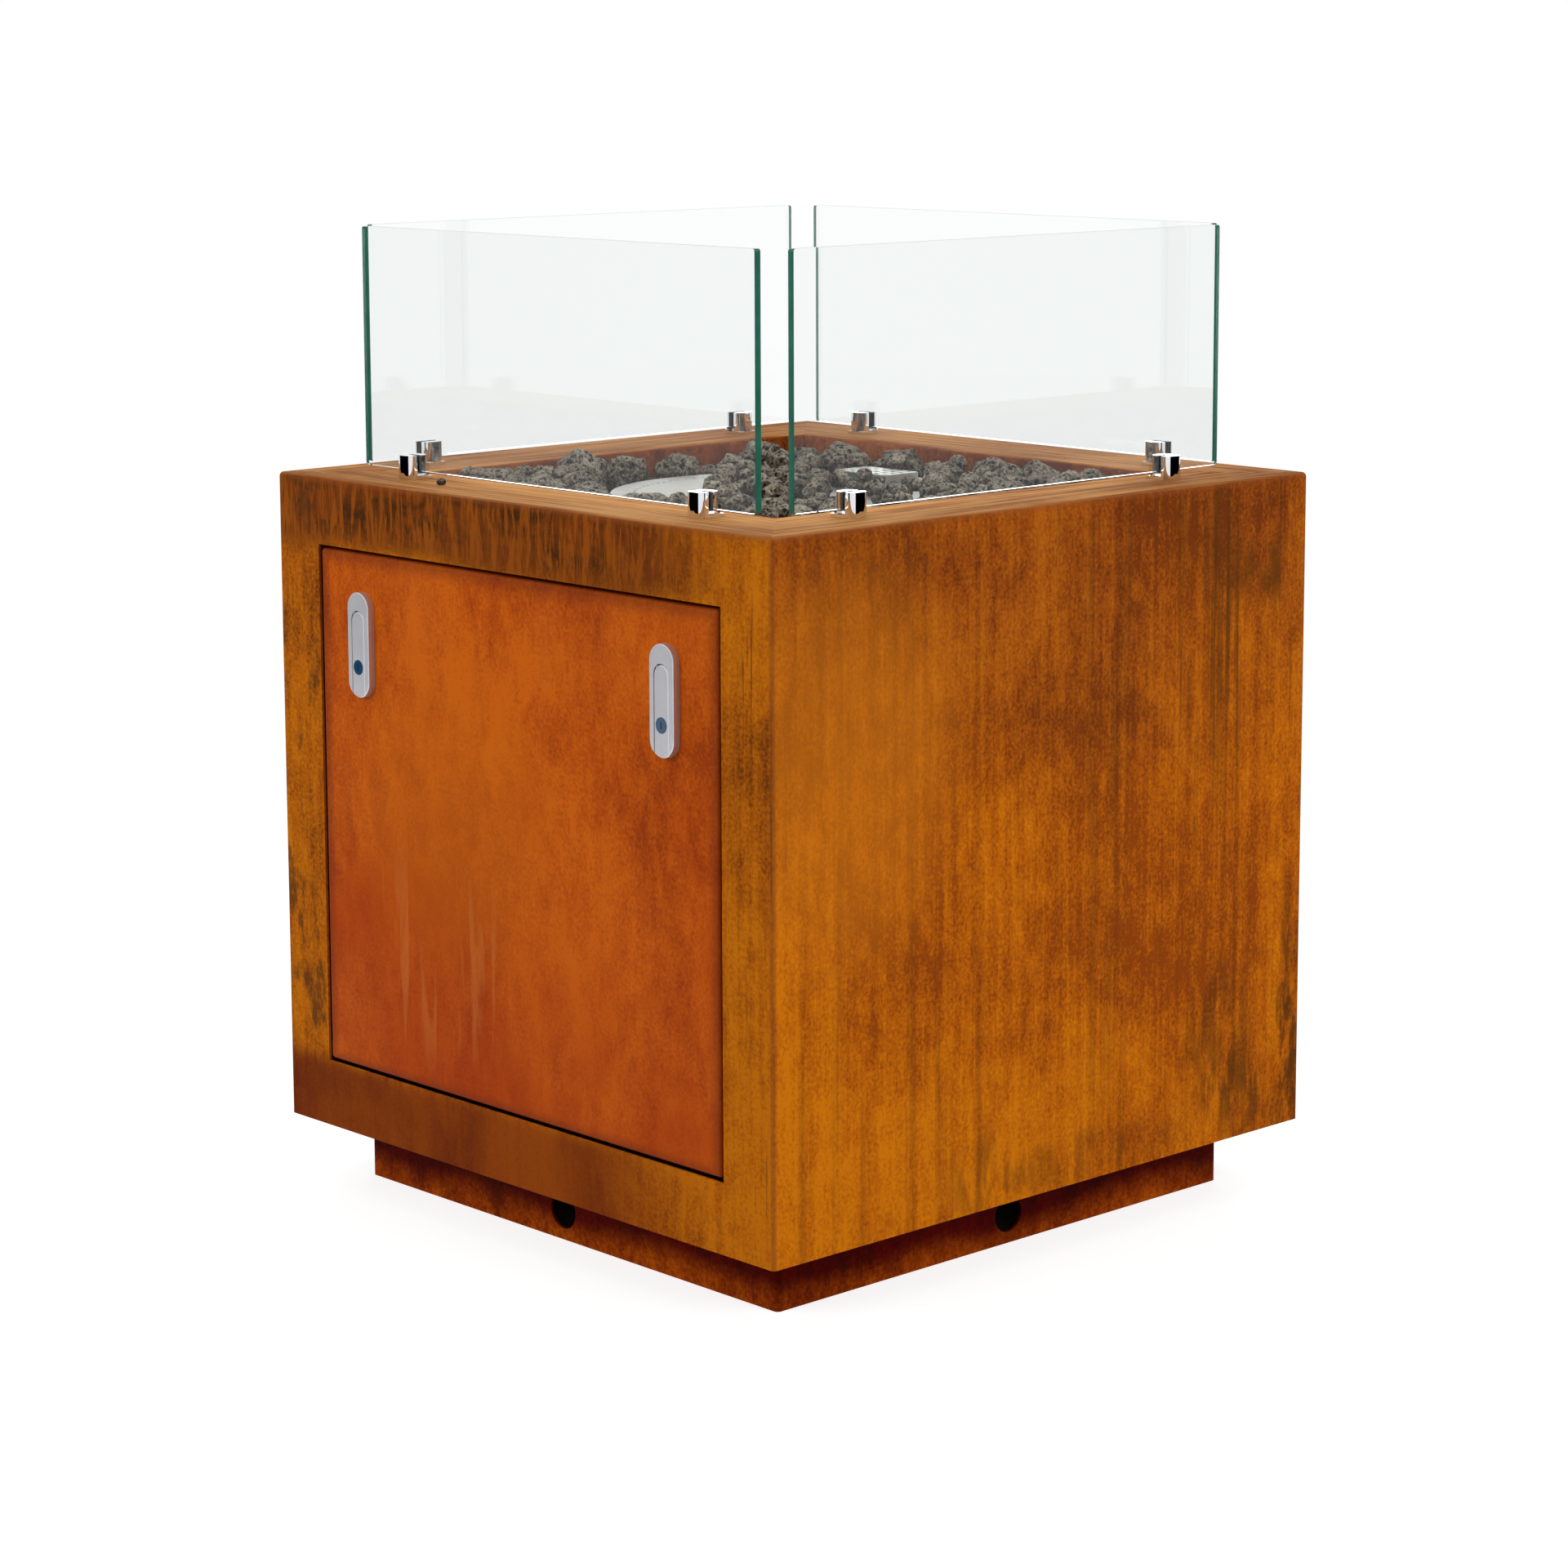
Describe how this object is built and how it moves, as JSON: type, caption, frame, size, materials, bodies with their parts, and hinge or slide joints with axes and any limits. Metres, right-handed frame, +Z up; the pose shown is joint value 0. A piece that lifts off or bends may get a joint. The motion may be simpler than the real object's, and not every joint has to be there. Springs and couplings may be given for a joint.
{
  "type": "fire pit table",
  "caption": "Square gas fire pit table in weathering steel with lava rock, glass wind guard and a latched access door.",
  "frame": {"origin": "centre of the cabinet's footprint on the ground", "axes": "+Z up; the access door faces -Y; +X is to the right as seen from the door"},
  "size_m": [0.8, 0.8089, 1.07],
  "materials": {
    "weathering_steel": "rusted weathering steel, satin",
    "door_steel": "rusted weathering steel, smoother and more orange",
    "burner_steel": "heat-dulled stainless steel",
    "pilot_steel": "bright stainless steel",
    "zinc_steel": "zinc plated",
    "latch_metal": "satin nickel on a zinc casting",
    "blue_lock": "glossy dark blue",
    "chrome": "polished",
    "glass": "clear, green edges",
    "rubber": "matte black",
    "brass": "machined",
    "copper": "drawn copper tube",
    "aluminium_tube": "drawn",
    "ceramic": "glazed white",
    "black_plastic": "fine texture",
    "red_plastic": "glossy",
    "lava_rock": "rough, porous"
  },
  "bodies": {
    "cabinet": {"burner_drum": "burner_steel", "burner_locknut": "brass", "burner_nipple": "brass", "burner_tray": "burner_steel", "cabinet_shell": "weathering_steel", "clamp_bodies": "chrome", "clamp_jaws": "chrome", "clamp_liners": "rubber", "clamp_mount_screws": "zinc_steel", "clamp_screws": "zinc_steel", "control_panel": "burner_steel", "cover_screws": "zinc_steel", "door_buffers": "rubber", "door_stop_frame": "weathering_steel", "floor_pan": "weathering_steel", "gas_injector": "brass", "gas_valve": "brass", "glass_back": "glass", "glass_front": "glass", "glass_left": "glass", "glass_right": "glass", "heat_shield": "burner_steel", "igniter_housing": "black_plastic", "inlet_fitting": "brass", "lava_rocks_burner": "lava_rock", "lava_rocks_tray": "lava_rock", "mixer_tube": "brass", "pilot_bracket": "burner_steel", "pilot_burner": "burner_steel", "pilot_cover": "pilot_steel", "pilot_tube": "aluminium_tube", "pivot_cradles": "weathering_steel", "plinth": "weathering_steel", "plinth_bolts": "zinc_steel", "shield_bolts": "zinc_steel", "shield_spacers": "zinc_steel", "spark_electrode": "ceramic", "supply_pipe": "copper", "thermocouple": "copper", "tray_rails": "zinc_steel"},
    "door": {"door_panel": "door_steel", "door_stiffener": "weathering_steel", "pivot_pins": "zinc_steel", "latch_plates": "latch_metal", "latch_nuts": "zinc_steel"},
    "left_handle": {"left_latch_handle": "latch_metal", "left_lever_pin": "zinc_steel", "left_latch_cam": "zinc_steel", "left_cam_screw": "zinc_steel"},
    "left_lever": {"left_latch_lever": "latch_metal"},
    "left_lock": {"left_lock_cylinder": "blue_lock"},
    "right_handle": {"right_latch_handle": "latch_metal", "right_lever_pin": "zinc_steel", "right_latch_cam": "zinc_steel", "right_cam_screw": "zinc_steel"},
    "right_lever": {"right_latch_lever": "latch_metal"},
    "right_lock": {"right_lock_cylinder": "blue_lock"},
    "knob": {"control_knob": "black_plastic"},
    "igniter": {"igniter_button": "red_plastic"}
  },
  "joints": [
    {"name": "door_tilt", "type": "hinge", "parent": "cabinet", "child": "door", "pos_m": [0, -0.391, 0.165], "axis": [1, 0, 0], "range_deg": [0, 75]},
    {"name": "left_handle_turn", "type": "hinge", "parent": "door", "child": "left_handle", "pos_m": [-0.248, -0.4, 0.6635], "axis": [0, -1, 0], "range_deg": [0, 90]},
    {"name": "left_lever_lift", "type": "hinge", "parent": "left_handle", "child": "left_lever", "pos_m": [-0.248, -0.40655, 0.6581], "axis": [-1, 0, 0], "range_deg": [0, 45]},
    {"name": "left_key_turn", "type": "hinge", "parent": "left_lever", "child": "left_lock", "pos_m": [-0.248, -0.4085, 0.5995], "axis": [0, -1, 0], "range_deg": [0, 90]},
    {"name": "right_handle_turn", "type": "hinge", "parent": "door", "child": "right_handle", "pos_m": [0.248, -0.4, 0.6635], "axis": [0, 1, 0], "range_deg": [0, 90]},
    {"name": "right_lever_lift", "type": "hinge", "parent": "right_handle", "child": "right_lever", "pos_m": [0.248, -0.40655, 0.6581], "axis": [-1, 0, 0], "range_deg": [0, 45]},
    {"name": "right_key_turn", "type": "hinge", "parent": "right_lever", "child": "right_lock", "pos_m": [0.248, -0.4085, 0.5995], "axis": [0, 1, 0], "range_deg": [0, 90]},
    {"name": "knob_turn", "type": "hinge", "parent": "cabinet", "child": "knob", "pos_m": [0.14, -0.35, 0.64], "axis": [0, -1, 0], "range_deg": [0, 180]},
    {"name": "igniter_press", "type": "slide", "parent": "cabinet", "child": "igniter", "axis": [0, 1, 0], "range_m": [0, 0.004], "stiffness_N_per_m": 600}
  ]
}
